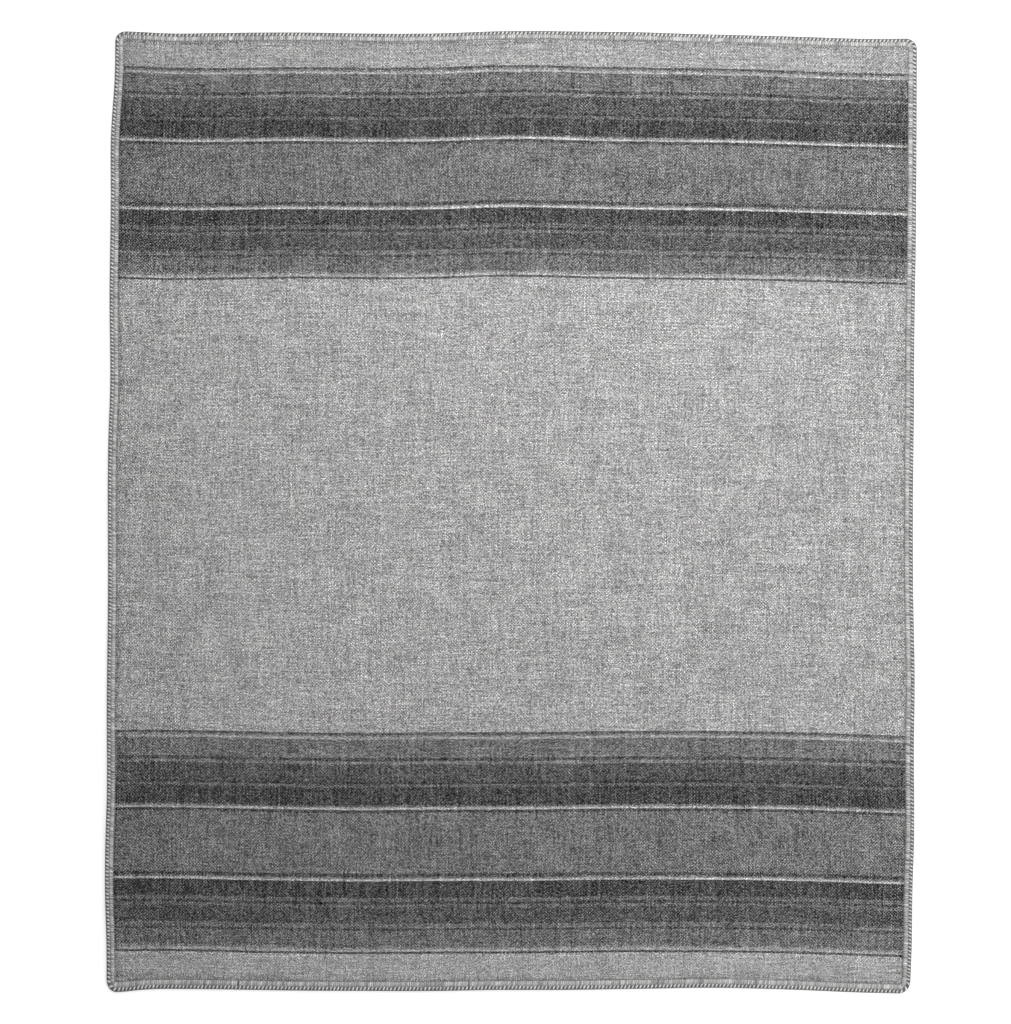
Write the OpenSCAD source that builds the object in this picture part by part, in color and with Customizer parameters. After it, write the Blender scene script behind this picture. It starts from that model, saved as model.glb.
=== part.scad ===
// Woven wool-blend camp blanket, laid flat.
// Units are millimetres. The origin is at the centre of the footprint, on the
// surface the blanket lies on. +Y points to the head end, +X to the right, +Z up.
// The cloth is one weave; each node below is a run of weft yarn of one colour,
// or one thread of the overlocked edging. The blanket folds in half about Y = 0.

/* [Blanket size] */
// Overall laid-flat width, rim to rim
blanket_width = 1277; // [1000:1:1700]
// Overall laid-flat length, rim to rim
blanket_length = 1524; // [1400:1:2300]
// Thickness of the fulled cloth
cloth_thickness = 2.6; // [2.2:0.1:3.6]
// Radius of the rounded corners, measured at the rim
corner_radius = 18; // [17:1:80]

/* [Stripe groups] */
// Distance from the head rim to the first stripe of the head group
head_margin = 54.8; // [30:0.1:120]
// Distance from the foot rim to the last stripe of the foot group
foot_margin = 58.7; // [30:0.1:120]
// Length of the head stripe group
head_group_length = 336.3; // [250:0.1:450]
// Length of the foot stripe group
foot_group_length = 351.4; // [250:0.1:450]
// Rise of a bright corded rib above the cloth face
cord_rise = 0.7; // [0.3:0.1:1.2]
// Rise of a fine pale pinstripe above the cloth face
pinstripe_rise = 0.2; // [0.1:0.1:0.5]
// Depth of a dark accent line below the cloth face
line_drop = 0.5; // [0.2:0.1:0.8]

/* [Edging] */
// Width of the rope-like purl along the rim
purl_width = 5.8; // [4.6:0.1:7]
// Height of the purl
purl_height = 4.4; // [3.6:0.1:4.6]
// Gap between the edging threads and the surface below
edging_lift = 0.2; // [0.1:0.1:0.4]
// Width of the upper looper welt lying on the cloth
welt_width = 6.8; // [5:0.1:9]
// Height of the upper looper welt
welt_height = 1.6; // [1:0.1:2]
// Width of the under looper band below the cloth
under_looper_width = 6; // [4:0.1:9]
// Diameter of the needle thread
needle_thread_diameter = 1; // [0.6:0.1:1.2]
// Thickness of the cloth where the stitches pinch it
pinched_thickness = 1; // [0.8:0.1:1.4]

/* [Fold] */
// Gap left over the tallest thread when the blanket is folded in half
fold_clearance = 0.4; // [0.2:0.1:2]

/* [Hidden] */
$fn = 48;
play = 0.1;
half_width = blanket_width / 2;
half_length = blanket_length / 2;
pinch_bottom = 1;
pinch_top = pinch_bottom + pinched_thickness;
purl_radius = purl_height / 2;
purl_top = edging_lift + purl_height;
cloth_edge_inset = purl_width + play;
welt_inset = cloth_edge_inset;
needle_inset = welt_inset + welt_width + play + needle_thread_diameter / 2;
body_inset = needle_inset + needle_thread_diameter / 2 + play;
fold_axis_height = purl_top + fold_clearance;
echo(fold_axis_height = fold_axis_height);

// Yarn runs of one stripe group, from its head side to its foot side.
// Each entry is [nominal width, kind of run].
stripe_plan = [
    [4.1, "line"], [7.3, "cord"], [24.5, "mid_dark_1"],
    [3.5, "pin"], [5.3, "line"], [4.9, "pin"], [26.9, "dark_1"],
    [3.9, "line"], [5.3, "pin"], [27.2, "charcoal_1"],
    [7.3, "cord"], [4.5, "line"], [94.3, "mid_grey"],
    [4.3, "line"], [7.5, "cord"], [25.7, "charcoal_2"],
    [6.2, "pin"], [4.3, "line"], [4.9, "pin"], [21.2, "dark_2"],
    [3.9, "line"], [7, "pin"], [3.6, "line"], [24, "mid_dark_2"],
    [8.8, "cord"], [3.4, "line"]
];
plan_count = len(stripe_plan);

function plan_sum(last) = last < 0 ? 0 : stripe_plan[last][0] + plan_sum(last - 1);
plan_length = plan_sum(plan_count - 1);

// Stripe boundaries sit on a 0.01 mm grid, so that neighbouring runs meet exactly
function on_grid(y) = round(y * 100) / 100;

head_group_top = on_grid(half_length - head_margin);
head_group_bottom = on_grid(head_group_top - head_group_length);
foot_group_bottom = on_grid(foot_margin - half_length);
foot_group_top = on_grid(foot_group_bottom + foot_group_length);

ground_colour = [0.69, 0.69, 0.68];
mid_grey_colour = [0.49, 0.49, 0.48];
mid_dark_colour = [0.46, 0.46, 0.455];
dark_colour = [0.375, 0.375, 0.37];
charcoal_colour = [0.32, 0.32, 0.32];
cord_colour = [0.8, 0.8, 0.78];
pin_colour = [0.55, 0.55, 0.54];
line_colour = [0.25, 0.25, 0.25];
pale_thread_colour = [0.78, 0.78, 0.76];
dark_thread_colour = [0.3, 0.3, 0.29];
needle_colour = [0.5, 0.5, 0.49];

// ---- cloth building blocks ----

// Flat outline with its two head corners rounded, from Y = low up to the head end
module head_outline(inset, low) {
    r = corner_radius - inset;
    w = half_width - inset;
    top = half_length - inset;
    translate([-w, low]) square([2 * w, top - r - low]);
    translate([-(w - r), top - r - 1]) square([2 * (w - r), r + 1]);
    for (side = [-1, 1]) translate([side * (w - r), top - r]) circle(r);
}

// Strip of cloth between two Y positions: thick body and pinched side edges
module strip(low, high, top) {
    body_half = half_width - body_inset;
    edge_half = half_width - cloth_edge_inset;
    translate([-body_half, low, 0]) cube([2 * body_half, high - low, top]);
    translate([-edge_half, low, pinch_bottom])
        cube([2 * edge_half, high - low, pinched_thickness]);
}

// Rounded rib standing on a strip of cloth
module rib_crown(low, high) {
    body_half = half_width - body_inset;
    width = high - low;
    crown_radius = (width * width / 4 + cord_rise * cord_rise) / (2 * cord_rise);
    translate([-body_half, (low + high) / 2, 0])
        rotate([90, 0, 90])
            linear_extrude(2 * body_half)
                intersection() {
                    translate([0, cloth_thickness + cord_rise - crown_radius])
                        circle(crown_radius, $fn = 96);
                    translate([-width / 2, cloth_thickness - 1]) square([width, 3]);
                }
}

// Cloth between the last stripe and the end rim, with the rounded corners
module end_ground(low) {
    linear_extrude(cloth_thickness) head_outline(body_inset, low);
    translate([0, 0, pinch_bottom])
        linear_extrude(pinched_thickness) head_outline(cloth_edge_inset, low);
}

// Every run of one kind in a stripe group that starts at Y = start
module group_runs(start, length, kind) {
    k = length / plan_length;
    for (i = [0:plan_count - 1])
        if (stripe_plan[i][1] == kind) {
            high = on_grid(start - k * plan_sum(i - 1));
            low = on_grid(start - k * plan_sum(i));
            if (kind == "line") strip(low, high, cloth_thickness - line_drop);
            else if (kind == "pin") strip(low, high, cloth_thickness + pinstripe_rise);
            else strip(low, high, cloth_thickness);
            if (kind == "cord") rib_crown(low, high);
        }
}

module head_runs(kind) { group_runs(head_group_top, head_group_length, kind); }
module foot_runs(kind) { group_runs(foot_group_top, foot_group_length, kind); }

// ---- edging building blocks ----
// Section coordinates: X is the distance inward from the rim, Y is the height.

module purl_section() {
    translate([purl_radius, edging_lift]) square([purl_width - purl_height, purl_height]);
    for (x = [purl_radius, purl_width - purl_radius])
        translate([x, edging_lift + purl_radius]) circle(purl_radius);
}

module welt_section() {
    r = (welt_width * welt_width / 4 + welt_height * welt_height) / (2 * welt_height);
    intersection() {
        translate([welt_inset + welt_width / 2, pinch_top + welt_height - r])
            circle(r, $fn = 96);
        translate([welt_inset, pinch_top]) square([welt_width, welt_height + 1]);
    }
}

module under_looper_section() {
    translate([welt_inset, edging_lift])
        square([under_looper_width, pinch_bottom - edging_lift]);
}

module needle_section() {
    translate([needle_inset, pinch_top + needle_thread_diameter / 2])
        circle(d = needle_thread_diameter);
}

// Straight length of edging: rim on the Y axis, section reaching into +X
module edging_run(length) {
    translate([0, length, 0]) rotate([90, 0, 0]) linear_extrude(length) children();
}

// Edging of the head half: two sides, the end and its two corners
module head_edging() {
    side_run = half_length - corner_radius;
    end_run = 2 * (half_width - corner_radius);
    translate([-half_width, 0, 0]) edging_run(side_run) children();
    mirror([1, 0, 0]) translate([-half_width, 0, 0]) edging_run(side_run) children();
    translate([-end_run / 2, half_length, 0]) rotate([0, 0, -90])
        edging_run(end_run) children();
    for (side = [0, 1])
        mirror([side, 0, 0])
            translate([half_width - corner_radius, side_run, 0])
                rotate_extrude(angle = 90)
                    translate([corner_radius, 0]) mirror([1, 0]) children();
}

module foot_edging() { mirror([0, 1, 0]) head_edging() children(); }

// ---- nodes of the head half ----

module head_end_ground() { color(ground_colour) end_ground(head_group_top); }
module head_mid_dark_outer() { color(mid_dark_colour) head_runs("mid_dark_1"); }
module head_dark_outer() { color(dark_colour) head_runs("dark_1"); }
module head_charcoal_outer() { color(charcoal_colour) head_runs("charcoal_1"); }
module head_mid_grey() { color(mid_grey_colour) head_runs("mid_grey"); }
module head_charcoal_inner() { color(charcoal_colour) head_runs("charcoal_2"); }
module head_dark_inner() { color(dark_colour) head_runs("dark_2"); }
module head_mid_dark_inner() { color(mid_dark_colour) head_runs("mid_dark_2"); }
module head_corded_ribs() { color(cord_colour) head_runs("cord"); }
module head_pinstripes() { color(pin_colour) head_runs("pin"); }
module head_dark_lines() { color(line_colour) head_runs("line"); }
module head_centre_field() { color(ground_colour) strip(0, head_group_bottom, cloth_thickness); }
module head_purl() { color(pale_thread_colour) head_edging() purl_section(); }
module head_upper_looper() { color(pale_thread_colour) head_edging() welt_section(); }
module head_under_looper() { color(dark_thread_colour) head_edging() under_looper_section(); }
module head_needle_thread() { color(needle_colour) head_edging() needle_section(); }

// ---- nodes of the foot half ----

module foot_end_ground() { color(ground_colour) mirror([0, 1, 0]) end_ground(-foot_group_bottom); }
module foot_mid_dark_inner() { color(mid_dark_colour) foot_runs("mid_dark_1"); }
module foot_dark_inner() { color(dark_colour) foot_runs("dark_1"); }
module foot_charcoal_inner() { color(charcoal_colour) foot_runs("charcoal_1"); }
module foot_mid_grey() { color(mid_grey_colour) foot_runs("mid_grey"); }
module foot_charcoal_outer() { color(charcoal_colour) foot_runs("charcoal_2"); }
module foot_dark_outer() { color(dark_colour) foot_runs("dark_2"); }
module foot_mid_dark_outer() { color(mid_dark_colour) foot_runs("mid_dark_2"); }
module foot_corded_ribs() { color(cord_colour) foot_runs("cord"); }
module foot_pinstripes() { color(pin_colour) foot_runs("pin"); }
module foot_dark_lines() { color(line_colour) foot_runs("line"); }
module foot_centre_field() { color(ground_colour) strip(foot_group_top, 0, cloth_thickness); }
module foot_purl() { color(pale_thread_colour) foot_edging() purl_section(); }
module foot_upper_looper() { color(pale_thread_colour) foot_edging() welt_section(); }
module foot_under_looper() { color(dark_thread_colour) foot_edging() under_looper_section(); }
module foot_needle_thread() { color(needle_colour) foot_edging() needle_section(); }

head_end_ground();
head_mid_dark_outer();
head_dark_outer();
head_charcoal_outer();
head_mid_grey();
head_charcoal_inner();
head_dark_inner();
head_mid_dark_inner();
head_corded_ribs();
head_pinstripes();
head_dark_lines();
head_centre_field();
head_purl();
head_upper_looper();
head_under_looper();
head_needle_thread();
foot_end_ground();
foot_mid_dark_inner();
foot_dark_inner();
foot_charcoal_inner();
foot_mid_grey();
foot_charcoal_outer();
foot_dark_outer();
foot_mid_dark_outer();
foot_corded_ribs();
foot_pinstripes();
foot_dark_lines();
foot_centre_field();
foot_purl();
foot_upper_looper();
foot_under_looper();
foot_needle_thread();
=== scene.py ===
import math

import bpy
import numpy as np
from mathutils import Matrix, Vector


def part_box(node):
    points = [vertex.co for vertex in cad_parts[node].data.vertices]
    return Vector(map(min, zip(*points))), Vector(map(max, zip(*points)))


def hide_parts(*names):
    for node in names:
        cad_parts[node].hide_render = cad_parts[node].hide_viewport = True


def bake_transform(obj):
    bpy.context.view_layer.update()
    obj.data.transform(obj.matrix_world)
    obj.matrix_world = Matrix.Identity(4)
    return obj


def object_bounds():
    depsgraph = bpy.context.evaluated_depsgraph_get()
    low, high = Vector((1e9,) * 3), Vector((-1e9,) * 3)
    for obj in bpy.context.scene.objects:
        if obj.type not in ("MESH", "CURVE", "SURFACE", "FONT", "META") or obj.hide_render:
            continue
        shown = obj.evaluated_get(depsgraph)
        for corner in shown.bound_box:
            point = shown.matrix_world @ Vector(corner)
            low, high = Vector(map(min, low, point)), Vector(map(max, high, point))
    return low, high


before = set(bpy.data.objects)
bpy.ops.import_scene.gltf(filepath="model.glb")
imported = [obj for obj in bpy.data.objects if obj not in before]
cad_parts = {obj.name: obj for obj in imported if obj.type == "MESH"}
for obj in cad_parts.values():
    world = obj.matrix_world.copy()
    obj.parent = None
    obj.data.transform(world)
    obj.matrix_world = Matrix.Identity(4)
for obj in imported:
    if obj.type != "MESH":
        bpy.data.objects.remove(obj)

# A woven camp blanket laid flat: one sheet of twill with two groups of weft stripes, and an
# overlocked edging of thread all round it. Everything is in metres, in the CAD's frame.

MM = 0.001
cad_low, cad_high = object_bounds()

# ------------------------------------------------------------------ sizes that the CAD gives
rim_x, rim_y = cad_high.x, cad_high.y
field_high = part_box("head_centre_field")[1]
cloth_inset = rim_x - field_high.x
cloth_top = field_high.z
cord_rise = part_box("head_corded_ribs")[1].z - cloth_top
pin_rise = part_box("head_pinstripes")[1].z - cloth_top
line_drop = cloth_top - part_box("head_dark_lines")[1].z
head_group = (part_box("head_dark_lines")[1].y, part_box("head_dark_lines")[0].y)
foot_group = (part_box("foot_dark_lines")[1].y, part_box("foot_dark_lines")[0].y)
purl_low, purl_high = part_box("head_purl")
needle_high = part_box("head_needle_thread")[1]
needle_radius = (needle_high.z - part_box("head_needle_thread")[0].z) / 2
# The photo shows the needle thread this much further in than the CAD has it.
NEEDLE_SHIFT = 0.6 * MM
needle_inset = rim_x - needle_high.x + needle_radius + NEEDLE_SHIFT
corner_radius = 18 * MM

# ------------------------------------------------------------------ yarn tones
# Albedo of the pale ground yarn; the tone of the two stripe groups and of the two end bands,
# as a share of it.
GROUND = 0.385
GAMMA = 2.2
HEAD_GROUP_SHARE, FOOT_GROUP_SHARE = 0.84, 0.91
HEAD_END, FOOT_END = 0.94, 1.10
# Weft runs of one stripe group, from its head side to its foot side: nominal width in mm, kind
# of run, share of the ground's albedo. A cord is pale yarn with painted shade and light on it:
# darker on its head side and brighter towards its foot side, as a raised cord lit from the foot
# end, so it has two shares, at its start and where it is palest. All were tuned until measured
# tones and boundaries in the render came close to the photo's.
STRIPES = [
    (3.7, "line", 0.24), (6.9, "cord", (0.45, 0.86)), (25.3, "band", 0.40),
    (3.5, "pin", 0.50), (5.3, "line", 0.16), (4.9, "pin", 0.52), (26.9, "band", 0.172),
    (3.9, "line", 0.075), (4.9, "pin", 0.30), (27.6, "band", 0.088),
    (7.3, "cord", (0.22, 1.05)), (4.5, "line", 0.14), (94.3, "band", 0.433),
    (4.3, "line", 0.14), (7.5, "cord", (0.22, 1.08)), (25.7, "band", 0.092),
    (6.2, "pin", 0.33), (4.3, "line", 0.11), (4.9, "pin", 0.33), (21.2, "band", 0.174),
    (3.9, "line", 0.18), (7.0, "pin", 0.42), (3.6, "line", 0.15), (24.0, "band", 0.388),
    (8.8, "cord", (0.42, 0.90)), (3.4, "line", 0.21),
]
# Across a cord: (place, part of the way to its palest share, share of the full crown)
CORD_ROWS = [
    (0.0, 0.0, 0.0), (0.15, 0.08, 0.45), (0.32, 0.24, 0.76), (0.48, 0.46, 0.95),
    (0.62, 0.76, 1.0), (0.75, 1.02, 0.9), (0.88, 0.98, 0.6), (1.0, 0.80, 0.0),
]
# Across a narrow run: (place, share of the rise or drop)
NARROW_ROWS = [(0.0, 0.0), (0.25, 0.8), (0.5, 1.0), (0.75, 0.8), (1.0, 0.0)]
# A cord catches more light than flat cloth does.
CORD_GLOW = 1.2
# Half the gap between the last row of one run and the first of the next.
SEAM = 0.15 * MM


def encoded(albedo):
    """An albedo as the evenly spaced tone that the cloth's shader adds its grain to."""
    return albedo ** (1 / GAMMA)


# ------------------------------------------------------------------ how the blanket lies
# It doesn't lie quite square: (place along the side in mm, shift in mm). A rim's shift is that
# of the edge itself, and a bow is that of a whole stripe group. The points were measured off
# the photo with scratch scripts, and then thinned out and rounded to half a millimetre by hand.
LEFT_RIM = [
    (-760, -4.5), (-700, -4.5), (-600, -7), (-520, -6), (-460, -4), (-320, -4), (-130, -2),
    (110, -1.5), (200, 1.5), (340, 0.5), (500, 2.5), (590, 2.5), (700, 9), (760, 9.5),
]
RIGHT_RIM = [
    (-760, -5.5), (-680, -2.5), (-600, -1.5), (-520, 1), (-360, 1), (-280, 2), (-110, -0.5),
    (30, -0.5), (180, 1), (280, 1.5), (450, 4), (600, 5), (760, 5.5),
]
HEAD_BOW = [
    (-640, -3.5), (-550, -5.5), (-330, -3.5), (-230, -4.5), (-140, -4), (-10, -0.5),
    (50, -1), (120, -3), (210, -4.5), (400, -7), (530, -10.5), (640, -14),
]
FOOT_BOW = [
    (-640, 3), (-550, 3.5), (-390, 0.5), (-240, -1.5), (-100, -0.5), (0, -0.5),
    (180, 1.5), (360, 1), (470, -1), (530, -3), (640, -7),
]
HEAD_RIM = [
    (-640, 2.5), (-600, 2), (-550, 0.5), (-490, 1), (-330, 0), (-90, -1), (60, 0),
    (190, 1.5), (290, -0.5), (450, -2), (560, -2), (640, 1),
]
FOOT_RIM = [
    (-640, -7.5), (-610, -6), (-585, -3.5), (-500, -1.5), (-330, -0.5), (-240, 0), (-110, -1),
    (-20, 0.5), (110, -0.5), (230, 0.5), (310, 2), (450, 1), (560, 0), (640, 1),
]
# The outermost stripe of the head group sits a little off the group's own bow.
HEAD_TOP = [
    (-640, 2.5), (-550, 1), (-200, -0.5), (100, 0), (420, -1.5), (480, -2.5), (640, -1),
]
# How far in mm the edging's groove is drawn towards three of the rims, and the insets where
# this is greatest and where it has faded out.
LEFT_PULL, HEAD_PULL, FOOT_PULL = 0.8, 1.4, -1.2
PULL_PEAK, PULL_END = 13 * MM, 45 * MM


def smooth(points, at):
    """A curve with no corners through a table's points, at each place in metres."""
    px, py = (np.array(c) * MM for c in zip(*points))
    slope = np.gradient(py, px)
    i = np.clip(np.searchsorted(px, at) - 1, 0, len(px) - 2)
    h = px[i + 1] - px[i]
    t = np.clip((at - px[i]) / h, 0, 1)
    return (
        (2 * t**3 - 3 * t**2 + 1) * py[i]
        + (t**3 - 2 * t**2 + t) * h * slope[i]
        + (3 * t**2 - 2 * t**3) * py[i + 1]
        + (t**3 - t**2) * h * slope[i + 1]
    )


def pull(inset, amount):
    """Shift towards a rim at a distance from it: greatest at the groove, none at the rim."""
    fade = np.clip((PULL_END - inset) / (PULL_END - PULL_PEAK), 0, 1)
    return amount * MM * np.clip(inset / PULL_PEAK, 0, 1) * fade


def laid(x, y):
    """Where a point of the flat blanket lies: x and y after the small shifts of its rims."""
    across = (x + rim_x) / (2 * rim_x)
    dx = smooth(LEFT_RIM, y) * (1 - across) + smooth(RIGHT_RIM, y) * across
    # The line that the blanket folds on stays straight.
    dy = smooth(HEAD_BOW, x) * np.clip(y / head_group[1], 0, 1)
    dy += smooth(FOOT_BOW, x) * np.clip(y / foot_group[0], 0, 1)
    end = np.clip((y - head_group[0]) / (rim_y - head_group[0]), 0, 1)
    top = np.clip((y - head_group[1]) / (head_group[0] - head_group[1]), 0, 1)
    dy += smooth(HEAD_RIM, x) * end + smooth(HEAD_TOP, x) * top * (1 - end)
    dy += smooth(FOOT_RIM, x) * np.clip((foot_group[1] - y) / (foot_group[1] + rim_y), 0, 1)
    dx -= pull(x + rim_x, LEFT_PULL)
    dy += pull(rim_y - y, HEAD_PULL) - pull(y + rim_y, FOOT_PULL)
    return x + dx, y + dy


# Soft rises of the cloth off the floor: (waves across per metre, waves along per metre, phase)
SWELLS = [(1.1, 2.3, 0.4), (2.6, 1.2, 2.1), (3.7, 4.4, 4.0), (-2.2, 5.3, 1.2), (6.1, -3.1, 5.2)]
SWELL_SHARPNESS = 1.2
SWELL_HEIGHT, RIM_SWELL = 1.3 * MM, 0.25 * MM
SWELL_GROWTH = 120 * MM


def swell(x, y):
    """Height of the cloth's underside over the floor, small at the rims."""
    inside = np.minimum(rim_x - np.abs(x), rim_y - np.abs(y))
    total = sum(np.sin(math.tau * (a * x + b * y) + phase) for a, b, phase in SWELLS)
    share = np.clip(0.5 + total / (SWELL_SHARPNESS * len(SWELLS)), 0, 1)
    grow = np.clip((inside - corner_radius) / SWELL_GROWTH, 0, 1)
    return share * (RIM_SWELL + (SWELL_HEIGHT - RIM_SWELL) * grow * grow * (3 - 2 * grow))


# ------------------------------------------------------------------ mesh helpers
def link(thing):
    """Adds an object to the scene."""
    bpy.context.scene.collection.objects.link(thing)
    return thing


def make_mesh(name, points, faces, material):
    """A smooth-shaded piece from an array of points and a list of faces."""
    mesh = bpy.data.meshes.new(name)
    mesh.from_pydata(points.tolist(), [], faces)
    mesh.shade_smooth()
    mesh.materials.append(material)
    return link(bpy.data.objects.new(name, mesh))


def add_attribute(piece, name, values):
    """A point attribute of the piece's mesh, one number or one vector each."""
    kind, key = ("FLOAT", "value") if values.ndim == 1 else ("FLOAT_VECTOR", "vector")
    attribute = piece.data.attributes.new(name, kind, "POINT")
    attribute.data.foreach_set(key, values.astype(np.float32).ravel())


# ------------------------------------------------------------------ cloth
# Distance from the rim in mm, with the heights there of the cloth's two faces: it is pinched
# flat under the needle thread and swells again under the looper threads.
EDGE_PROFILE = [
    (5.9, 1.30, 1.75), (6.6, 0.95, 2.10), (7.8, 0.85, 2.30), (9.3, 0.80, 2.35),
    (11.3, 0.82, 2.25), (12.9, 0.88, 1.85), (14.0, 0.90, 1.45), (15.1, 0.55, 1.80),
    (16.3, 0.32, 2.15), (18.0, 0.15, 2.38), (20.8, 0.05, 2.52), (24.0, 0.0, 2.60),
]
COLUMN_STEPS = [24, 30, 38, 48, 60, 75, 92, 110]
COLUMN_PITCH = 14 * MM
ROW_PITCH = 13 * MM
# Close rows on both sides of the fold line: how far they reach and how many there are.
FOLD_REACH, FOLD_ROWS = 6 * MM, 13
# The relief of the stripes fades in over this distance from the needle thread.
RELIEF_FADE = 3 * MM


def cloth_columns():
    """Flat x of every column of the cloth, from left to right."""
    edge = [d for d, low, high in EDGE_PROFILE[:-1]]
    near = [cloth_inset] + [d * MM for d in edge[1:] + COLUMN_STEPS]
    inner = rim_x - near[-1]
    count = round(2 * inner / COLUMN_PITCH)
    middle = np.linspace(-inner, inner, count + 1)
    left = np.array(near[:-1]) - rim_x
    return np.concatenate([left, middle, -left[::-1]])


def plain_rows(high, low, tone):
    """Rows of an even stretch of cloth, both ends included."""
    count = max(1, math.ceil((high - low) / ROW_PITCH))
    return [(y, tone, 0.0) for y in np.linspace(high, low, count + 1)]


def group_rows(group, tone_share):
    """Rows of one stripe group. Two rows at each boundary keep the colours apart."""
    start, end = group
    scale = (start - end) / sum(width for width, kind, share in STRIPES)
    rows, high = [], start
    for width, kind, share in STRIPES:
        low = high - width * scale
        top, span = high - SEAM, high - low - 2 * SEAM
        if kind == "band":
            rows += plain_rows(top, low + SEAM, encoded(GROUND * share * tone_share))
        elif kind == "cord":
            # A cord's ramp from dark to pale is painted shade and light, as on a raised cord lit
            # from the foot end.
            dark, pale = share
            for t, part, crown in CORD_ROWS:
                tone = encoded(GROUND * (dark * (1 - part) + CORD_GLOW * pale * part))
                rows.append((top - span * t, tone, cord_rise * crown))
        else:
            tone = encoded(GROUND * share * tone_share)
            rise = pin_rise if kind == "pin" else -line_drop
            rows += [(top - span * t, tone, rise * crown) for t, crown in NARROW_ROWS]
        high = low
    return rows


def cloth_rows():
    """(flat y, tone, rise) of every row of the cloth, from the head end to the foot end."""
    ground, at_head, at_foot = (encoded(GROUND * tone_share) for tone_share in (1.0, HEAD_END, FOOT_END))
    ends = [cloth_inset] + [d * MM for d, low, high in EDGE_PROFILE[1:]]
    head = [(rim_y - d, at_head, 0.0) for d in ends[:-1]]
    head += plain_rows(rim_y - ends[-1], head_group[0] + SEAM, at_head)
    foot = plain_rows(foot_group[1] - SEAM, ends[-1] - rim_y, at_foot)
    foot += [(d - rim_y, at_foot, 0.0) for d in reversed(ends[:-1])]
    field = plain_rows(head_group[1] - SEAM, FOLD_REACH, ground)[:-1]
    field += [(y, ground, 0.0) for y in np.linspace(FOLD_REACH, -FOLD_REACH, FOLD_ROWS)]
    field += plain_rows(-FOLD_REACH, foot_group[0] + SEAM, ground)[1:]
    head_stripes = group_rows(head_group, HEAD_GROUP_SHARE)
    foot_stripes = group_rows(foot_group, FOOT_GROUP_SHARE)
    return head + head_stripes + field + foot_stripes + foot


def rounded(x, y):
    """Square corners turned into round ones: a point keeps its distance from the rim."""
    ax, ay = np.abs(x) - (rim_x - corner_radius), np.abs(y) - (rim_y - corner_radius)
    inside = (ax > 0) & (ay > 0)
    reach = np.maximum(ax, ay)
    lesser = np.minimum(ax, ay) / np.where(inside, reach, 1)
    turn = math.pi / 4 * np.where(ax >= ay, lesser, 2 - lesser)
    cx = np.sign(x) * (rim_x - corner_radius + reach * np.cos(turn))
    cy = np.sign(y) * (rim_y - corner_radius + reach * np.sin(turn))
    return np.where(inside, cx, x), np.where(inside, cy, y)


def make_cloth(material):
    """The cloth: one closed sheet whose two faces follow the same rows and columns."""
    xs = cloth_columns()
    ys, tones, rises = (np.array(c) for c in zip(*cloth_rows()))
    x, y = np.meshgrid(xs, ys)
    from_rim = np.minimum(rim_x - np.abs(x), rim_y - np.abs(y))
    place, low, high = (np.array(c) * MM for c in zip(*EDGE_PROFILE))
    fade = np.clip((from_rim - needle_inset) / RELIEF_FADE, 0, 1)
    flat_x, flat_y = rounded(x, y)
    lift = swell(flat_x, flat_y)
    top = np.interp(from_rim, place, high) + rises[:, None] * fade + lift
    bottom = np.interp(from_rim, place, low) + lift
    lie_x, lie_y = laid(flat_x, flat_y)

    rows, columns = x.shape
    index = np.arange(rows * columns).reshape(rows, columns)
    upper = np.stack(
        [index[:-1, :-1], index[1:, :-1], index[1:, 1:], index[:-1, 1:]], -1
    ).reshape(-1, 4)
    lower = upper[:, ::-1] + rows * columns
    loop = np.concatenate(
        [index[:-1, 0], index[-1, :-1], index[:0:-1, -1], index[0, :0:-1]]
    )
    ahead = np.roll(loop, -1)
    wall = np.stack([loop, loop + rows * columns, ahead + rows * columns, ahead], -1)
    points = np.concatenate(
        [np.stack([lie_x, lie_y, z], -1).reshape(-1, 3) for z in (top, bottom)]
    )
    faces = np.concatenate([upper, lower, wall]).tolist()
    piece = make_mesh("cloth", points, faces, material)
    flat = np.stack([flat_x, flat_y, flat_x * 0], -1).reshape(-1, 3)
    tone = np.broadcast_to(tones[:, None], x.shape).ravel()
    # Both faces of the cloth carry the same values.
    for name, values in (("flat", flat), ("tone", tone), ("inset", from_rim.ravel())):
        add_attribute(piece, name, np.concatenate([values, values]))
    return piece


# ------------------------------------------------------------------ edging
# The edging runs anticlockwise from the foot end of the right side. Its own coordinates are
# how far round it is, how far in from the rim, and the height. A stitch's length differs a
# little from side to side.
# Arc lengths are taken at the reference inset.
REFERENCE_INSET = 7 * MM
SIDE_STITCH, HEAD_STITCH, FOOT_STITCH = 5.85 * MM, 6.2 * MM, 6.0 * MM


def edging_path():
    """Arc length and stitch count at the ends of the four sides and the four corners."""
    side, end = 2 * (rim_y - corner_radius), 2 * (rim_x - corner_radius)
    bend = math.pi / 2 * (corner_radius - REFERENCE_INSET)
    runs = [side, bend, end, bend, side, bend, end, bend]
    stitches = [
        SIDE_STITCH, SIDE_STITCH, HEAD_STITCH, HEAD_STITCH,
        SIDE_STITCH, SIDE_STITCH, FOOT_STITCH, FOOT_STITCH,
    ]
    lengths = np.concatenate([[0], np.cumsum(runs)])
    counts = np.concatenate([[0], np.cumsum([r / s for r, s in zip(runs, stitches)])])
    return lengths, counts * round(counts[-1]) / counts[-1]


path_lengths, path_stitches = edging_path()
STITCHES = round(path_stitches[-1])


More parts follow.
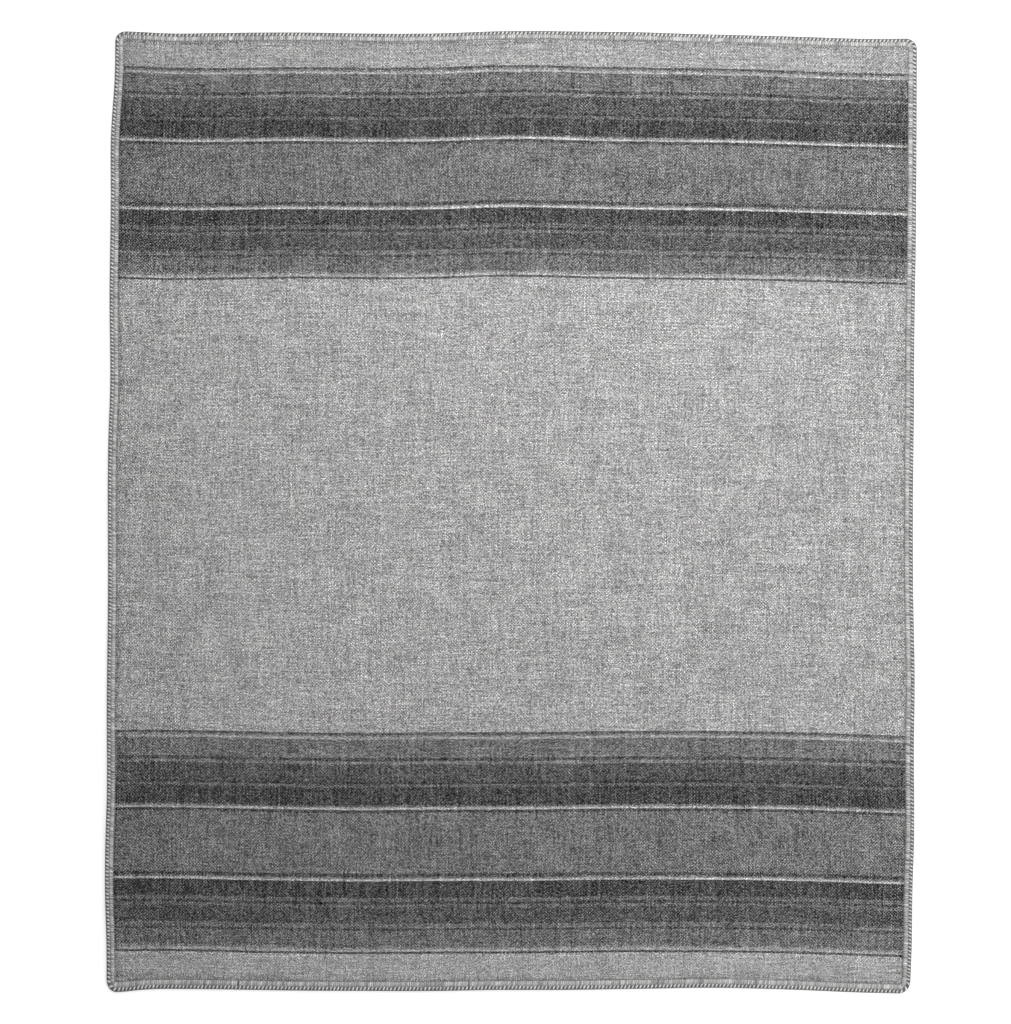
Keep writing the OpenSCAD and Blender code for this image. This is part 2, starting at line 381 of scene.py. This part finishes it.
def edging_flat(stitch, inset):
    """Flat x and y of points on the edging, from the stitch they are at and their inset."""
    s = np.interp(stitch % STITCHES, path_stitches, path_lengths)
    run = np.clip(np.searchsorted(path_lengths, s, side="right") - 1, 0, 7)
    local = s - path_lengths[run]
    w, h, r = rim_x - corner_radius, rim_y - corner_radius, corner_radius
    corner_x = np.array([w, w, w, -w, -w, -w, -w, w])[run]
    corner_y = np.array([-h, h, h, h, h, -h, -h, -h])[run]
    heading = np.array([0, 0, 1, 1, 2, 2, 3, 3])[run] * math.pi / 2
    bent = run % 2 == 1
    heading = heading + np.where(bent, local / (r - REFERENCE_INSET), 0)
    ahead = np.where(bent, 0, local)
    out = r - inset
    # Heading 0 travels along +Y with the rim on the +X side.
    x = corner_x + out * np.cos(heading) - ahead * np.sin(heading)
    y = corner_y + out * np.sin(heading) + ahead * np.cos(heading)
    return x, y


def edging_points(stitch, inset, height):
    """Points of the edging as they lie, from their own coordinates."""
    x, y = edging_flat(stitch, inset)
    lie_x, lie_y = laid(x, y)
    return np.stack([lie_x, lie_y, height + swell(x, y)], -1)


def tubes(centre, across, lift, radius_across, radius_lift, sides, closed):
    """Tubes swept along centre lines, as points in the edging's coordinates and faces.

    centre is (tubes, rings, 3); across and lift are the two directions of a ring.
    """
    count, rings = centre.shape[:2]
    turn = np.arange(sides) / sides * math.tau
    ring = (
        across[:, :, None] * (np.cos(turn)[:, None] * radius_across[:, :, None, None])
        + lift[:, :, None] * (np.sin(turn)[:, None] * radius_lift[:, :, None, None])
    )
    points = centre[:, :, None] + ring
    index = np.arange(count * rings * sides).reshape(count, rings, sides)
    last = rings if closed else rings - 1
    here, there = index[:, :last], np.roll(index, -1, 1)[:, :last]
    faces = np.stack([here, there, np.roll(there, -1, 2), np.roll(here, -1, 2)], -1)
    return points.reshape(-1, 3), faces.reshape(-1, 4).tolist()


def unit(v):
    """Vectors scaled to length 1."""
    return v / np.linalg.norm(v, axis=-1, keepdims=True)


def edging_piece(name, material, points, faces, tone, along, angle):
    """A piece of thread, from points in the edging's coordinates in metres.

    The first coordinate is a length at a side's stitch; along and angle say how far a point is
    along its thread and round it, for the twist of the yarn.
    """
    place = edging_points(points[:, 0] / SIDE_STITCH, points[:, 1], points[:, 2])
    piece = make_mesh(name, place, faces, material)
    add_attribute(piece, "tone", tone)
    add_attribute(piece, "grain", np.stack([along, angle, along * 0], -1))
    return piece


def round_angles(sides, rings):
    """Place round its thread, from 0 to 1, of every point of a tube."""
    return np.tile(np.arange(sides) / sides, rings)


def closed_noise(random, count, spread):
    """Smooth random numbers on a closed run, one each stitch."""
    values = random.normal(0, 1, count)
    for _ in range(spread):
        values = (np.roll(values, 1) + 2 * values + np.roll(values, -1)) / 4
    return values / values.std()


# The purl's middle, from the rim and over the floor.
PURL_INSET = (cloth_inset + 0.6 * MM) / 2
PURL_MIDDLE = (purl_low.z + purl_high.z) / 2 - 0.05 * MM
# How much the strands vary: place in stitches, inset, thickness and tone.
STRAND_DRIFT, STRAND_WANDER, STRAND_SWELL, STRAND_SHADE = 0.05, 0.12 * MM, 0.05, 0.09


def strand(name, material, phase, shift, reach, rise, radius, crest, shade, seed):
    """One strand of the purl: a left-handed helix round the rim, one turn a stitch.

    phase is where it starts, reach and rise are the half width and half height of its turns,
    radius is its own, and crest is how much thicker it is on top.
    """
    steps, sides = 11, 6
    random = np.random.default_rng(seed)
    rings = STITCHES * steps
    at = np.arange(rings) / steps
    wander = closed_noise(random, STITCHES, 2)
    size = 1 + STRAND_SWELL * closed_noise(random, STITCHES, 0)
    nodes = np.arange(STITCHES + 1)
    wander = np.interp(at, nodes, np.append(wander, wander[0]))
    size = np.interp(at, nodes, np.append(size, size[0]))
    turn = phase - math.tau * at
    size = radius * size * (1 + crest * (0.5 + 0.5 * np.sin(turn)))
    radial = np.stack([at * 0, np.cos(turn), np.sin(turn)], -1)
    centre = np.stack(
        [
            (at + STRAND_DRIFT * wander) * SIDE_STITCH,
            PURL_INSET + shift + reach * np.cos(turn) + STRAND_WANDER * wander,
            PURL_MIDDLE + rise * np.sin(turn),
        ],
        -1,
    )
    run = np.roll(centre, -1, 0) - np.roll(centre, 1, 0)
    # The strand is closed, so its ends step along the rim as its other rings do.
    run[[0, -1], 0] = run[1, 0]
    side = unit(np.cross(unit(run), radial))
    radial = unit(np.cross(side, run))
    points, faces = tubes(
        centre[None], radial[None], side[None], size[None], size[None], sides, True
    )
    shades = shade * (1 + STRAND_SHADE * closed_noise(random, STITCHES, 0))
    along = np.repeat(np.cumsum(np.linalg.norm(run, axis=1)) / 2, sides)
    return edging_piece(
        name, material, points, faces, np.repeat(shades, steps * sides), along,
        round_angles(sides, rings),
    )


CORE_HALF_WIDTH, CORE_HALF_HEIGHT = 3.05 * MM, 1.70 * MM
# Painted tone of the core's outer and inner side, as a share of that on top: painted shade of
# the purl's flanks, greyer than the painted shadow on top.
OUTER_FLANK_SHADE, INNER_FLANK_SHADE = 3.0, 2.4


def shadow_core(name, material):
    """Painted shadow inside the purl: dark in the gaps between the beads, greyer painted shade
    down its sides.
    """
    sides = 12
    at = np.arange(STITCHES * 2) / 2
    centre = np.stack([at * SIDE_STITCH, at * 0 + PURL_INSET, at * 0 + PURL_MIDDLE], -1)
    across = np.broadcast_to([0.0, 1.0, 0.0], centre.shape)
    upward = np.broadcast_to([0.0, 0.0, 1.0], centre.shape)
    full = np.ones((1, len(at)))
    points, faces = tubes(
        centre[None], across[None], upward[None],
        full * CORE_HALF_WIDTH, full * CORE_HALF_HEIGHT, sides, True,
    )
    inward = (points[:, 1] - PURL_INSET) / CORE_HALF_WIDTH
    tone = 1 + np.where(inward < 0, OUTER_FLANK_SHADE - 1, INNER_FLANK_SHADE - 1) * np.abs(inward) ** 3
    angle = round_angles(sides, len(at))
    return edging_piece(name, material, points, faces, tone, points[:, 0], angle)


# Legs of the looper threads: (inset in mm, height in mm, share of the full half width).
UPPER_LEG = [
    (6.2, 2.30, 0.7), (7.4, 2.80, 0.9), (9.0, 3.05, 1.0), (10.9, 3.0, 1.0),
    (12.6, 2.40, 0.85), (13.6, 1.50, 0.45),
]
UNDER_LEG = [
    (4.8, 1.00, 0.7), (6.6, 0.66, 1.0), (8.8, 0.60, 1.0), (11.0, 0.66, 0.9), (12.4, 1.0, 0.5),
]


# How much the legs vary: place in stitches, reach in mm, thickness and tone.
LEG_DRIFT, LEG_REACH, LEG_PUFF, LEG_SHADE = 0.02, 0.30, 0.11, 0.2
# How far a leg leans along the rim from end to end, in stitches.
LEG_LEAN = 0.2


def legs(name, material, route, half_width, half_height, seed):
    """Looper thread lying across the welt: two legs a stitch, all leaning one way."""
    sides = 8
    random = np.random.default_rng(seed)
    count, rings = STITCHES * 2, len(route)
    inset, height, share = (np.array(c) for c in zip(*route))
    at = (np.arange(count) / 2 + 0.25)[:, None]
    at = at + LEG_DRIFT * random.normal(0, 1, (count, 1))
    across = (inset - inset.mean()) / np.ptp(inset)
    reach = LEG_REACH * random.normal(0, 1, (count, 1))
    puff = 1 + LEG_PUFF * np.clip(random.normal(0, 1, (count, 1)), -2, 2)
    centre = np.stack(
        [
            (at + LEG_LEAN * across) * SIDE_STITCH,
            (inset + reach * (across + 0.5)) * MM,
            height * MM + 0 * at,
        ],
        -1,
    )
    run = np.gradient(centre, axis=1)
    side = np.zeros_like(run)
    side[..., 0] = 1
    lift = unit(np.cross(unit(run), side))
    side = unit(np.cross(lift, run))
    points, faces = tubes(
        centre, side, lift, share * half_width * puff, share * half_height * puff, sides, False
    )
    index = np.arange(len(points)).reshape(count, rings, sides)
    caps = index[:, 0].tolist() + index[:, -1, ::-1].tolist()
    tone = np.repeat(1 + LEG_SHADE * random.normal(0, 1, count), rings * sides)
    along = np.repeat(np.tile(inset * MM, count), sides) + np.repeat(at.ravel(), rings * sides)
    angle = round_angles(sides, count * rings)
    return edging_piece(name, material, points, faces + caps, tone, along, angle)


NEEDLE_HALF_WIDTH = 0.42 * MM
# Height of the needle thread where it goes through the cloth, and its rise between.
NEEDLE_LOW, NEEDLE_RISE = 1.35 * MM, 0.75 * MM


def needle_line(name, material):
    """The needle thread: one stitch after another in the groove beside the welt."""
    steps, sides = 6, 5
    rings = STITCHES * steps
    at = np.arange(rings) / steps
    rise = np.abs(np.sin(math.pi * at)) ** 0.7
    centre = np.stack(
        [at * SIDE_STITCH, at * 0 + needle_inset, NEEDLE_LOW + NEEDLE_RISE * rise], -1
    )
    inward = np.broadcast_to([0.0, 1.0, 0.0], centre.shape)
    upward = np.broadcast_to([0.0, 0.0, 1.0], centre.shape)
    radius = np.full((1, rings), NEEDLE_HALF_WIDTH)
    points, faces = tubes(centre[None], inward[None], upward[None], radius, radius, sides, True)
    tone = np.ones(len(points))
    angle = round_angles(sides, rings)
    return edging_piece(name, material, points, faces, tone, points[:, 0], angle)


# ------------------------------------------------------------------ materials
class Shader:
    """A material and short calls for its nodes. Values may be numbers or other nodes' outputs."""

    def __init__(self, name, roughness, sheen, specular):
        self.material = bpy.data.materials.new(name)
        self.material.use_nodes = True
        self.tree = self.material.node_tree
        self.surface = self.tree.nodes["Principled BSDF"]
        self.surface.inputs["Roughness"].default_value = roughness
        self.surface.inputs["Sheen Weight"].default_value = sheen
        self.surface.inputs["Sheen Roughness"].default_value = 0.5
        self.surface.inputs["Specular IOR Level"].default_value = specular

    def put(self, socket, value):
        """Links another node's output to a socket, or sets a number on it."""
        if isinstance(value, bpy.types.NodeSocket):
            self.tree.links.new(value, socket)
        else:
            socket.default_value = value

    def math(self, operation, *values):
        """A Math node's output."""
        node = self.tree.nodes.new("ShaderNodeMath")
        node.operation = operation
        for socket, value in zip(node.inputs, values):
            self.put(socket, value)
        return node.outputs[0]

    def add(self, a, b):
        return self.math("ADD", a, b)

    def times(self, a, b):
        return self.math("MULTIPLY", a, b)

    def attribute(self, name, output="Fac"):
        """A point attribute of the mesh."""
        node = self.tree.nodes.new("ShaderNodeAttribute")
        node.attribute_name = name
        return node.outputs[output]

    def split(self, vector):
        """The three parts of a vector."""
        node = self.tree.nodes.new("ShaderNodeSeparateXYZ")
        self.put(node.inputs[0], vector)
        return node.outputs

    def join(self, x, y, z=0.0):
        """A vector from its parts."""
        node = self.tree.nodes.new("ShaderNodeCombineXYZ")
        for socket, value in zip(node.inputs, (x, y, z)):
            self.put(socket, value)
        return node.outputs[0]

    def noise(self, vector, scale, detail=2.0, roughness=0.5):
        """Noise about 0, from -0.5 to 0.5."""
        node = self.tree.nodes.new("ShaderNodeTexNoise")
        self.put(node.inputs["Vector"], vector)
        node.inputs["Scale"].default_value = scale
        node.inputs["Detail"].default_value = detail
        node.inputs["Roughness"].default_value = roughness
        return self.math("SUBTRACT", node.outputs[0], 0.5)

    def white(self, vector):
        """White noise about 0, from -0.5 to 0.5."""
        node = self.tree.nodes.new("ShaderNodeTexWhiteNoise")
        node.noise_dimensions = "3D"
        self.put(node.inputs["Vector"], vector)
        return self.math("SUBTRACT", node.outputs[0], 0.5)

    def pick(self, choice, if_true, if_false):
        """One of two values, by a choice of 1 or 0."""
        node = self.tree.nodes.new("ShaderNodeMix")
        node.data_type = "FLOAT"
        self.put(node.inputs[0], choice)
        self.put(node.inputs[2], if_false)
        self.put(node.inputs[3], if_true)
        return node.outputs[0]

    def fade(self, value, start, end, low, high):
        """low before start, high after end, and a smooth change between them."""
        node = self.tree.nodes.new("ShaderNodeMapRange")
        node.interpolation_type = "SMOOTHSTEP"
        for socket, v in zip(node.inputs, (value, start, end, low, high)):
            self.put(socket, v)
        return node.outputs[0]

    def colour(self, value, tint):
        """Paints the surface with a grey value times a tint."""
        channels = [self.times(value, t) for t in tint]
        node = self.tree.nodes.new("ShaderNodeCombineColor")
        for socket, channel in zip(node.inputs, channels):
            self.put(socket, channel)
        self.put(self.surface.inputs["Base Color"], node.outputs[0])

    def bump(self, height, distance, strength):
        """Raises the surface's shading by a height from 0 to 1."""
        node = self.tree.nodes.new("ShaderNodeBump")
        node.inputs["Strength"].default_value = strength
        node.inputs["Distance"].default_value = distance
        self.put(node.inputs["Height"], height)
        self.put(self.surface.inputs["Normal"], node.outputs[0])


YARN_PITCH = 1.2 * MM
# The yarns wander: waves per metre and reach.
WOBBLE_WAVES, WOBBLE = 28.0, 1.6 * MM
# Melange, in waves per metre: fibre flecks, streaks along a yarn, clouds and surface fuzz.
FLECK_WAVES, STREAK_WAVES, CLOUD_WAVES, FUZZ_WAVES = 600.0, 14.0, 22.0, 2600.0
# Step between one yarn's streak and the next one's in the noise.
STREAK_STEP = 1.37
# Weights of the parts of the grain, and of a warp streak beside a weft one.
CELL, FLECK, STREAK, CONTRAST, CROSSING, RELIEF_SHADING, CLOUD = 0.53, 0.86, 1.02, 0.4, 0.22, 0.16, 0.15
WARP_STREAK = 0.62
MEAN_RELIEF = 0.55
# The grain is weaker past the stripe group at each end.
END_GRAIN = 0.82
DARKEST = 0.05
# Painted shade near the edging: the share of its tone that the cloth shows in the groove, at the
# foot end and elsewhere, and just inside the needle thread. The foot end's groove is painted
# lighter, where the light falls into it. Further in it rises to all of it.
FOOT_GROOVE_SHADE, GROOVE_SHADE, NEEDLE_SIDE_SHADE = 0.84, 0.68, 0.92
WOOL_TINT = (1.004, 1.0, 0.998)


def groove_painted_shade(s, inset, y):
    """Painted shade on the cloth near its edge, where the stitches draw it down and the welt
    shades it.
    """
    groove = s.fade(y, 18 * MM - rim_y, 24 * MM - rim_y, FOOT_GROOVE_SHADE, GROOVE_SHADE)
    edge = s.fade(inset, 12.0 * MM, 13.5 * MM, groove, NEEDLE_SIDE_SHADE)
    slope = s.fade(inset, 14 * MM, 26 * MM, 0.0, 1 - NEEDLE_SIDE_SHADE)
    return s.math("MINIMUM", 1.0, s.add(edge, slope))


def cloth_material():
    """Broken twill of melange wool: each crossing of two yarns is a cell with its own tone."""
    s = Shader("twill_wool", roughness=0.92, sheen=0.05, specular=0.1)
    flat = s.attribute("flat", "Vector")
    x, y, _ = s.split(flat)
    wobble_x = s.times(s.noise(flat, WOBBLE_WAVES), WOBBLE)
    elsewhere = s.join(s.add(x, 3.0), s.add(y, 5.0))
    wobble_y = s.times(s.noise(elsewhere, WOBBLE_WAVES), WOBBLE)
    across = s.math("DIVIDE", s.add(x, wobble_x), YARN_PITCH)
    along = s.math("DIVIDE", s.add(y, wobble_y), YARN_PITCH)
    warp, weft = s.math("FLOOR", across), s.math("FLOOR", along)
    warp_in, weft_in = s.math("FRACT", across), s.math("FRACT", along)

    # Lifts of the broken twill: warp yarns 0, 1, 3 and 2 steps on.
    quarter = s.math("FLOORED_MODULO", warp, 4.0)
    step = s.add(quarter, s.math("COMPARE", quarter, 2.0, 0.1))
    step = s.math("SUBTRACT", step, s.math("COMPARE", quarter, 3.0, 0.1))
    phase = s.math("FLOORED_MODULO", s.add(weft, step), 4.0)
    warp_up = s.math("LESS_THAN", phase, 1.5)

    # Each yarn is round: highest along its middle, sinking where it dives under the next.
    warp_bow = s.math("SINE", s.times(warp_in, math.pi))
    weft_bow = s.math("SINE", s.times(weft_in, math.pi))
    float_place = s.times(s.add(phase, weft_in), math.pi / 2)
    warp_arch = s.math("ABSOLUTE", s.math("SINE", float_place))
    warp_height = s.times(warp_bow, s.add(s.times(warp_arch, 0.5), 0.5))
    weft_height = s.times(weft_bow, s.add(s.times(warp_bow, 0.5), 0.5))
    height = s.pick(warp_up, warp_height, weft_height)

    # Melange: cell by cell, flecks of fibre, streaks along a yarn and soft clouds.
    cell = s.white(s.join(warp, weft))
    fleck = s.noise(flat, FLECK_WAVES, 1.0)
    warp_place = s.join(s.times(warp, STREAK_STEP), s.times(y, STREAK_WAVES))
    weft_place = s.join(s.times(x, STREAK_WAVES), s.times(weft, STREAK_STEP), 7.0)
    warp_streak = s.times(s.noise(warp_place, 1.0, 1.0), WARP_STREAK)
    streak = s.pick(warp_up, warp_streak, s.noise(weft_place, 1.0, 1.0))
    cloud = s.noise(flat, CLOUD_WAVES, 3.0)
    tone = s.attribute("tone")
    crossing = s.math("SUBTRACT", warp_up, 0.5)
    contrast = s.math("SUBTRACT", encoded(GROUND), tone)
    # The yarn's height also goes into its colour: painted light on its crown, painted shade where
    # it dives under the next.
    relief = s.math("SUBTRACT", height, MEAN_RELIEF)
    grain = 0.0
    for part, weight in (
        (cell, CELL), (fleck, FLECK), (streak, STREAK),
        (s.times(crossing, contrast), CONTRAST), (crossing, CROSSING), (relief, RELIEF_SHADING),
    ):
        grain = s.add(grain, s.times(part, weight))
    from_middle = s.math("ABSOLUTE", y)
    calm = s.fade(from_middle, head_group[0], head_group[0] + 4 * MM, 1.0, END_GRAIN)
    # Painted shade of the groove darkens the cloth beside the edging.
    value = s.times(tone, groove_painted_shade(s, s.attribute("inset"), y))
    value = s.add(value, s.add(s.times(grain, calm), s.times(cloud, CLOUD)))
    value = s.math("POWER", s.math("MAXIMUM", value, DARKEST), GAMMA)
    s.colour(value, WOOL_TINT)
    fuzz = s.noise(flat, FUZZ_WAVES)
    s.bump(s.add(height, s.times(fuzz, 0.5)), 0.3 * MM, 0.8)
    return s.material


# Twisted thread: length of one ply's turn, plies, and how much they shade it.
PLY_TURN, PLIES, PLY_SHADE = 2.4 * MM, 2.0, 0.10
FIBRE_WAVES, FIBRES_ROUND = 400.0, 9.0


def thread_material(name, albedo, tint, grain_weight):
    """Twisted plied thread: the plies show as slanting ridges round it."""
    s = Shader(name, roughness=0.8, sheen=0.1, specular=0.2)
    tone = s.attribute("tone")
    along, angle, _ = s.split(s.attribute("grain", "Vector"))
    turns = s.add(s.times(along, 1 / PLY_TURN), s.times(angle, PLIES))
    ply = s.math("SINE", s.times(turns, math.tau))
    fibre_place = s.join(s.times(along, FIBRE_WAVES), s.times(angle, FIBRES_ROUND))
    fibre = s.noise(fibre_place, 1.0)
    shade = s.add(1.0, s.add(s.times(ply, PLY_SHADE), s.times(fibre, grain_weight)))
    s.colour(s.times(s.times(tone, albedo), shade), tint)
    s.bump(s.add(s.times(ply, 0.5), fibre), 0.15 * MM, 0.7)
    return s.material


# ------------------------------------------------------------------ pieces
cloth = make_cloth(cloth_material())
pale_thread = thread_material("pale_wool_thread", 0.64, (1.005, 1.0, 0.985), 0.35)
# Dark thread for the dark strand and the under looper; it also paints the shadow of the purl's
# core.
dark_thread_and_shadow = thread_material("dark_wool_and_shadow", 0.13, (1.0, 1.0, 1.0), 0.35)
needle_yarn = thread_material("needle_yarn", 0.27, (1.0, 1.0, 0.99), 0.3)

# shade=1.32 paints the beads brighter than the same pale thread in the legs: a painted highlight.
purl_pale = strand(
    "purl_pale_strand", pale_thread, phase=0.0, shift=0.35 * MM, reach=1.60 * MM,
    rise=0.94 * MM, radius=1.06 * MM, crest=0.26, shade=1.32, seed=11,
)
purl_dark = strand(
    "purl_dark_strand", dark_thread_and_shadow, phase=math.pi, shift=0.15 * MM, reach=1.75 * MM,
    rise=1.00 * MM, radius=0.95 * MM, crest=-0.12, shade=1.15, seed=12,
)
# The core is painted shadow in the purl's gaps and on its flanks.
purl_shadow_core = shadow_core("purl_shadow_core", dark_thread_and_shadow)
upper_legs = legs("upper_looper_thread", pale_thread, UPPER_LEG, 1.22 * MM, 0.60 * MM, seed=21)
under_legs = legs("under_looper_thread", dark_thread_and_shadow, UNDER_LEG, 1.40 * MM, 0.34 * MM, seed=22)
needle = needle_line("needle_stitches", needle_yarn)

edging = [purl_pale, purl_dark, purl_shadow_core, upper_legs, under_legs, needle]

EDGING_NODES = ("purl", "upper_looper", "under_looper", "needle_thread")
halves = ("head", "foot")
cloth_nodes = [n for n in sorted(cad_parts) if n.split("_", 1)[1] not in EDGING_NODES]
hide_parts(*cloth_nodes)
for piece in (purl_pale, purl_dark, purl_shadow_core):
    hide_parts(*(f"{half}_purl" for half in halves))
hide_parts(*(f"{half}_upper_looper" for half in halves))
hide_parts(*(f"{half}_under_looper" for half in halves))
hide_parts(*(f"{half}_needle_thread" for half in halves))

# Every piece has its placement baked into its points.
for piece in [cloth] + edging:
    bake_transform(piece)

# ------------------------------------------------------------------ stage, light and camera
STUDIO_RADIUS, WALL_HEIGHT, WALL_SIDES = 14.0, 3.0, 48
# The floor's own glow keeps it white: near the blanket, past the picture's corners, and how
# much more far away, with the distances from the middle between which each change happens.
NEAR_GLOW, CORNER_GLOW, FAR_GLOW = 0.53, 0.66, 0.14
NEAR_REACH, FAR_REACH = (0.7, 1.3), (1.5, 5.0)


def make_floor():
    """A pale floor and a low wall far round it, both a little brighter away from the blanket."""
    turns = [math.tau * i / WALL_SIDES for i in range(WALL_SIDES)]
    points = [
        (STUDIO_RADIUS * math.cos(turn), STUDIO_RADIUS * math.sin(turn), z)
        for z in (0.0, WALL_HEIGHT)
        for turn in turns
    ]
    wall = [
        (i, i + WALL_SIDES, (i + 1) % WALL_SIDES + WALL_SIDES, (i + 1) % WALL_SIDES)
        for i in range(WALL_SIDES)
    ]
    mesh = bpy.data.meshes.new("floor")
    mesh.from_pydata(points, [], [tuple(range(WALL_SIDES))] + wall)
    s = Shader("studio_floor", roughness=1.0, sheen=0.0, specular=0.0)
    s.surface.inputs["Base Color"].default_value = (0.75, 0.75, 0.75, 1)
    s.surface.inputs["Emission Color"].default_value = (1, 1, 1, 1)
    away = s.tree.nodes.new("ShaderNodeVectorMath")
    away.operation = "LENGTH"
    s.put(away.inputs[0], s.tree.nodes.new("ShaderNodeNewGeometry").outputs["Position"])
    near = s.fade(away.outputs["Value"], *NEAR_REACH, NEAR_GLOW, CORNER_GLOW)
    far = s.fade(away.outputs["Value"], *FAR_REACH, 0.0, FAR_GLOW)
    s.put(s.surface.inputs["Emission Strength"], s.add(near, far))
    mesh.materials.append(s.material)
    return link(bpy.data.objects.new("floor", mesh))


def make_world(strength):
    """Even white light from all round."""
    world = bpy.data.worlds.new("studio")
    world.use_nodes = True
    background = world.node_tree.nodes["Background"]
    background.inputs["Color"].default_value = (1, 1, 1, 1)
    background.inputs["Strength"].default_value = strength
    bpy.context.scene.world = world


def make_lamp(name, place, size, power):
    """A soft square lamp aimed at the middle of the blanket."""
    data = bpy.data.lights.new(name, "AREA")
    data.size = size
    data.energy = power
    lamp = link(bpy.data.objects.new(name, data))
    lamp.location = place
    lamp.rotation_mode = "QUATERNION"
    lamp.rotation_quaternion = (-Vector(place)).to_track_quat("-Z", "Y")


CAMERA_LENS, SENSOR_WIDTH = 100.0, 36.0
# Height of the picture at the cloth, and the point of the cloth at its middle.
FRAME_HEIGHT = 1.6254
FRAME_MIDDLE = (-9.4 * MM, -2.9 * MM)


def make_camera():
    """A long lens straight above the blanket, its picture's top towards the head end."""
    data = bpy.data.cameras.new("camera")
    data.lens = CAMERA_LENS
    data.sensor_width = SENSOR_WIDTH
    data.clip_end = 100.0
    camera = link(bpy.data.objects.new("camera", data))
    distance = FRAME_HEIGHT * CAMERA_LENS / SENSOR_WIDTH
    camera.location = (*FRAME_MIDDLE, cloth_top + distance)
    return camera


# The lamps' places and powers come from a fit to how the photo's tone changes over the cloth.
make_floor()
make_world(0.09)
make_lamp("key", (0.3, 0.9, 1.6), size=1.2, power=26.7)
# The rake brings out the relief.
make_lamp("rake", (2.6, -1.6, 2.0), size=1.6, power=59.0)
bpy.context.scene.camera = make_camera()
bpy.context.scene.view_settings.view_transform = "Standard"
